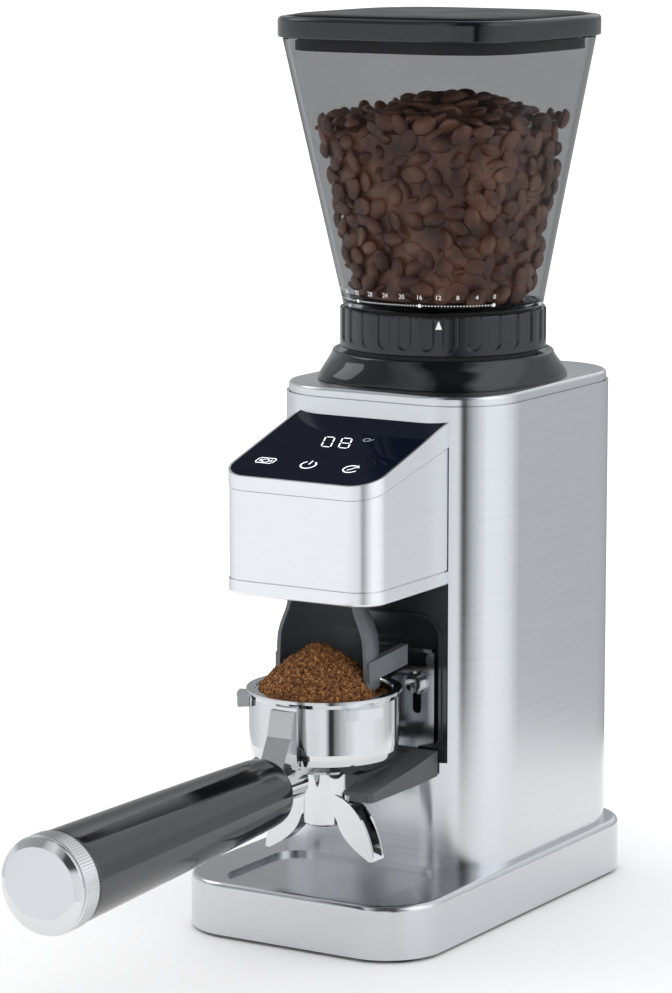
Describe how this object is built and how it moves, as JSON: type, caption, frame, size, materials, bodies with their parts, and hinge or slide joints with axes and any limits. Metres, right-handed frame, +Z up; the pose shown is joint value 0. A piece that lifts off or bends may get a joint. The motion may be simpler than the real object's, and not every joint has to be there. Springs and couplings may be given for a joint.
{
  "type": "coffee_grinder",
  "caption": "Upright electric burr coffee grinder with a square column, smoked hopper on a ribbed grind ring, sloping touch panel and a portafilter docked under an open chute",
  "frame": {"origin": "centre of the foot plane under the base", "axes": "+X to the object's left-hand side as it faces the viewer's right, -Y is the front with the touch panel and portafilter, +Z up"},
  "size_m": [0.1244, 0.397, 0.4024],
  "materials": {
    "brushed_steel": "fine brushed stainless sheet",
    "black_plastic": "satin black moulding",
    "grey_plastic": "satin dark grey moulding",
    "foot_rubber": "matt rubber",
    "seal_rubber": "soft seal",
    "zinc_steel": "plain plated steel",
    "polished_chrome": "mirror chrome",
    "polished_steel": "polished stainless",
    "black_glass": "black touch glass",
    "circuit_green": "circuit board",
    "gear_nylon": "natural nylon",
    "cast_aluminium": "die cast",
    "magnet_grey": "ferrite",
    "copper_iron": "laminated iron with copper windings",
    "burr_steel": "hardened ground steel",
    "gloss_black": "piano black",
    "white_print": "printed white",
    "smoked_clear": "smoke tinted clear plastic",
    "roasted_beans": "roasted coffee, slightly oily",
    "ground_beans": "ground coffee"
  },
  "bodies": {
    "housing": {"base_shell": "brushed_steel", "base_plate": "black_plastic", "rubber_feet": "foot_rubber", "drive_pillars": "zinc_steel", "column_shell": "brushed_steel", "cable_gland": "black_plastic", "column_cap": "brushed_steel", "recess_panel": "black_plastic", "holder_bracket": "brushed_steel", "bracket_screws": "polished_chrome", "holder_fork": "grey_plastic", "head_lower_trim": "brushed_steel", "head_wrap": "brushed_steel", "head_top_frame": "brushed_steel", "display_glass": "black_glass", "display_board": "circuit_green", "chute_scoop": "black_plastic", "exit_duct": "grey_plastic", "gearbox_tub": "cast_aluminium", "gearbox_cover": "cast_aluminium", "gearbox_screws": "zinc_steel", "lower_bearing": "polished_chrome", "upper_bearing": "polished_chrome", "motor_can": "zinc_steel", "motor_magnets": "magnet_grey", "motor_strap": "zinc_steel", "burr_chamber": "grey_plastic", "hopper_socket": "grey_plastic", "collar_ring": "gloss_black", "power_board": "circuit_green", "board_standoffs": "grey_plastic", "hopper_sensor": "circuit_green"},
    "burr_rotor": {"reduction_wheel": "gear_nylon", "burr_spindle": "zinc_steel", "sweeper_disc": "grey_plastic", "inner_burr": "burr_steel", "burr_nut": "zinc_steel"},
    "motor_rotor": {"motor_pinion": "zinc_steel", "motor_armature": "copper_iron"},
    "adjust_ring": {"grind_ring": "gloss_black", "ring_pointer": "white_print"},
    "upper_burr_carrier": {"outer_burr": "burr_steel", "burr_carrier": "grey_plastic"},
    "hopper": {"hopper_shell": "smoked_clear", "coffee_beans": "roasted_beans"},
    "lid": {"hopper_lid": "gloss_black", "lid_seal": "seal_rubber"},
    "portafilter": {"portafilter_cup": "polished_chrome", "filter_basket": "polished_steel", "basket_spring": "polished_steel", "double_spout": "polished_chrome", "handle_grip": "gloss_black", "handle_knurl_ring": "polished_chrome", "handle_end_cap": "polished_chrome", "handle_stud": "polished_steel", "ground_coffee": "ground_beans"}
  },
  "joints": [
    {"name": "lid_lift", "type": "slide", "parent": "hopper", "child": "lid", "axis": [0, 0, 1], "range_m": [0, 0.06]},
    {"name": "hopper_lift", "type": "slide", "parent": "housing", "child": "hopper", "axis": [0, 0, 1], "range_m": [0, 0.09]},
    {"name": "grind_adjust", "type": "hinge", "parent": "housing", "child": "adjust_ring", "pos_m": [0, 0.0279, 0.26], "axis": [0, 0, 1], "range_deg": [-74.2, 31.8]},
    {"name": "burr_gap", "type": "slide", "parent": "adjust_ring", "child": "upper_burr_carrier", "axis": [0, 0, 1], "range_m": [-0.00018, 0.00042]},
    {"name": "motor_spin", "type": "hinge", "parent": "housing", "child": "motor_rotor", "pos_m": [0, 0.0729, 0.1], "axis": [0, 0, 1], "continuous": true},
    {"name": "burr_spin", "type": "hinge", "parent": "housing", "child": "burr_rotor", "pos_m": [0, 0.0279, 0.2], "axis": [0, 0, 1], "continuous": true},
    {"name": "portafilter_slide", "type": "slide", "parent": "housing", "child": "portafilter", "axis": [0, -1, 0], "range_m": [0, 0.12]}
  ],
  "couplings": [
    {"joint": "burr_gap", "follows": "grind_adjust", "m_per_rad": -0.00031831},
    {"joint": "burr_spin", "follows": "motor_spin", "ratio": -0.42857}
  ]
}
